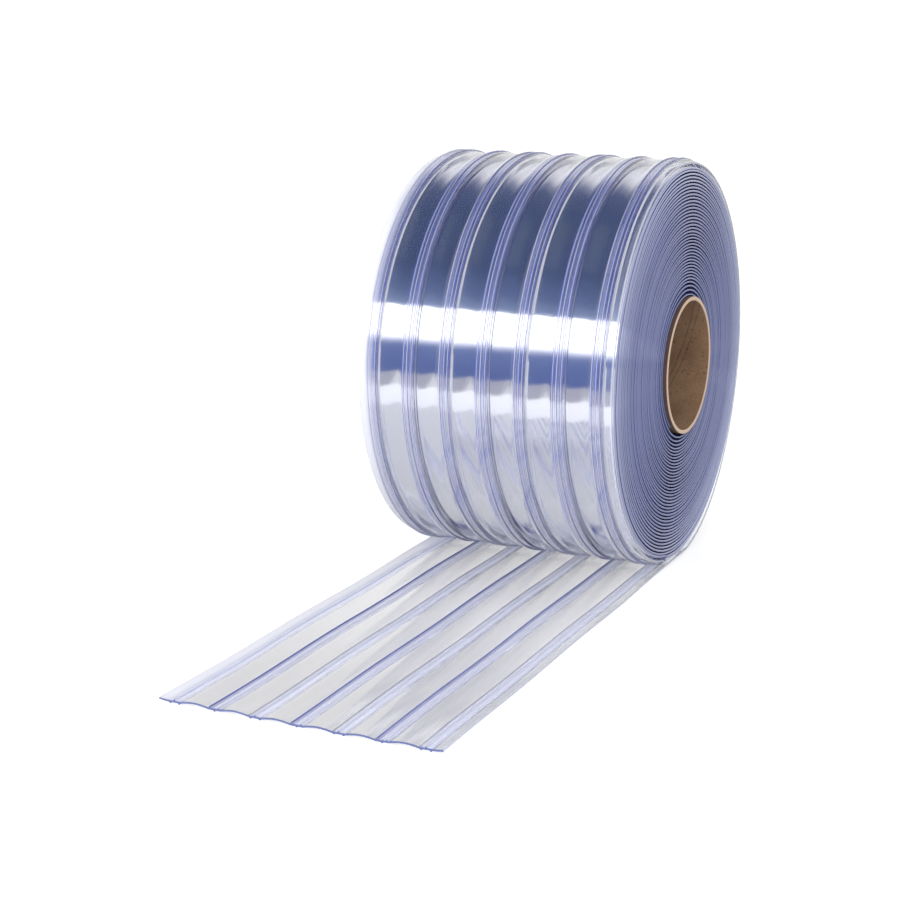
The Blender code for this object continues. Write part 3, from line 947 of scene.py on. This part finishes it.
# %% Hang the canopy
CANOPY_RADIUS, CANOPY_STEPS = 4.0, 60
CANOPY_FROM, CANOPY_TO = -16, 165  # degrees up from the front
CANOPY_SIDES = (-4.4, 0.8)  # past these the ribs' flanks mirror the white studio
TONES = [(-16, (0.97, 0.96, 0.93)), (-7.5, (0.97, 0.96, 0.93)), (-6.5, (0.10, 0.145, 0.35)),
         (8, UNDER_SOFTBOX), (26, (0.28, 0.34, 0.50)), (33, (0.26, 0.32, 0.47)),
         (41, (0.12, 0.16, 0.28)), (58, (0.055, 0.07, 0.125)), (100, (0.065, 0.085, 0.15)),
         (116, (0.10, 0.12, 0.21)), (123, (0.26, 0.28, 0.37)), (130, (0.72, 0.71, 0.76)),
         (137, (0.97, 0.96, 1.00)), (149, (1.0, 0.99, 1.02)), (152, (0.90, 0.90, 0.91)),
         (158, (0.92, 0.92, 0.93)), (165, (1.0, 1.0, 1.0))]
PANEL_SIDES, PANEL_HEIGHTS = ((-1.75, -1.55), (-0.6, -0.45)), ((57, 61), (88, 93))
CRESCENT_SIDES, CRESCENT_RISE, CRESCENT_LOW = (0.7, 3.0), 9.5, -15.5


def tone_at(angle):
    """Return the place on the canopy's ramp for an angle in degrees: 0.1 at the front, 1 at 180."""
    return angle * (1 / 200) + 0.1


def canopy_tones():
    """Return the canopy's finish and colour: its tones, a faint panel, and the crescents' grey."""
    finish = finish_named("canopy")
    aside, back, up = xyz(finish, object_place(finish))
    angle = (up - AXIS_HEIGHT).math("ARCTAN2", back * -1) * (180 / math.pi)
    tone = finish.add("ShaderNodeValToRGB", {
        "stops": [(tone_at(at), colour) for at, colour in TONES]}, {"Fac": tone_at(angle)})
    on_panel = between(finish, aside, *PANEL_SIDES) * between(finish, angle, *PANEL_HEIGHTS)
    paneled = mix_colours(finish, on_panel, tone, (0.095, 0.115, 0.165))
    rise = band(finish, aside * -1, *CRESCENT_SIDES)
    over_crescent = angle - (rise * rise * CRESCENT_RISE + CRESCENT_LOW)
    crescent = band(finish, over_crescent, 0.0, 0.5) * (1 - band(finish, angle, -7.5, -6.5))
    return finish, mix_colours(finish, crescent, paneled, (0.57, 0.55, 0.58))


angles = np.radians(np.linspace(CANOPY_FROM, CANOPY_TO, CANOPY_STEPS))
co = np.empty((CANOPY_STEPS, 2, 3))
co[:, :, 0] = CANOPY_SIDES
co[:, :, 1] = -CANOPY_RADIUS * np.cos(angles)[:, None]
co[:, :, 2] = AXIS_HEIGHT + CANOPY_RADIUS * np.sin(angles)[:, None]
data = mesh_of("canopy", co, quads(np.arange(CANOPY_STEPS * 2).reshape(-1, 2)))
gloss_card("canopy", data, *canopy_tones())
print("canopy", CANOPY_RADIUS, "m round the roll's axis")

# %% [markdown]
# The floor ends in front of the tongue, just outside the picture. It takes the object's shadow from
# the lamps, and a little light of its own brings what the camera sees of it up to white. What gloss
# and the clear strip see of it is set by itself, under the tongue and ahead of its cut end, and is
# brighter towards the roll: a painted light that lifts the roll's shade seen through the tongue.

# %% Lay the floor
FLOOR_DEPTH = 0.0003
FLOOR_SIDES, FLOOR_NEAR, FLOOR_FAR = 12.0, -0.72, 12.0
CAMERA_LIFT = 0.5
PLAIN_LIFT, AHEAD_LIFT, UNDER_LIFT, NEAR_ROLL_LIFT = 0.05, 0.38, 0.22, 0.32


def floor_white():
    """Return the floor's finish: a white that glows a little for the camera and in gloss."""
    finish = finish_named("floor")
    aside, along, _ = xyz(finish, object_place(finish))
    ahead = 1 - band(finish, along, -LOOSE_REACH - 0.004, -LOOSE_REACH)
    beside = band(finish, aside.math("ABSOLUTE"), HALF_WIDTH, HALF_WIDTH + 0.004)
    # Painted light: under the tongue the floor glows more towards the roll, for gloss and the clear
    # strip, to lift the roll's shade there.
    near_roll = band(finish, along, -0.40, -0.15)
    under_strip = (1 - beside) * (1 - ahead) * (near_roll * NEAR_ROLL_LIFT + UNDER_LIFT)
    mirrored = rays(finish, "Glossy", "Transmission") * (
        under_strip + ahead * AHEAD_LIFT + PLAIN_LIFT)
    white = finish.add("ShaderNodeBsdfPrincipled", {}, {
        "Base Color": (0.8, 0.8, 0.8), "Roughness": 0.9, "Specular IOR Level": 0.0,
        "Emission Color": (1, 1, 1),
        "Emission Strength": (rays(finish, "Camera") * CAMERA_LIFT).math("MAXIMUM", mirrored)})
    finish.add("ShaderNodeOutputMaterial", {}, {"Surface": white})
    finish.owner.cycles.emission_sampling = "NONE"
    return finish.owner


corners = [(-FLOOR_SIDES, FLOOR_NEAR), (FLOOR_SIDES, FLOOR_NEAR),
           (FLOOR_SIDES, FLOOR_FAR), (-FLOOR_SIDES, FLOOR_FAR)]
data = mesh_of("floor", [(*corner, -FLOOR_DEPTH) for corner in corners], [(0, 1, 2, 3)])
data.materials.append(floor_white())
add_object("floor", data)
print("floor from", FLOOR_NEAR, "m")

# %% [markdown]
# The last cell keeps the colours plain.

# %% Finish
bpy.context.scene.view_settings.view_transform = "Standard"
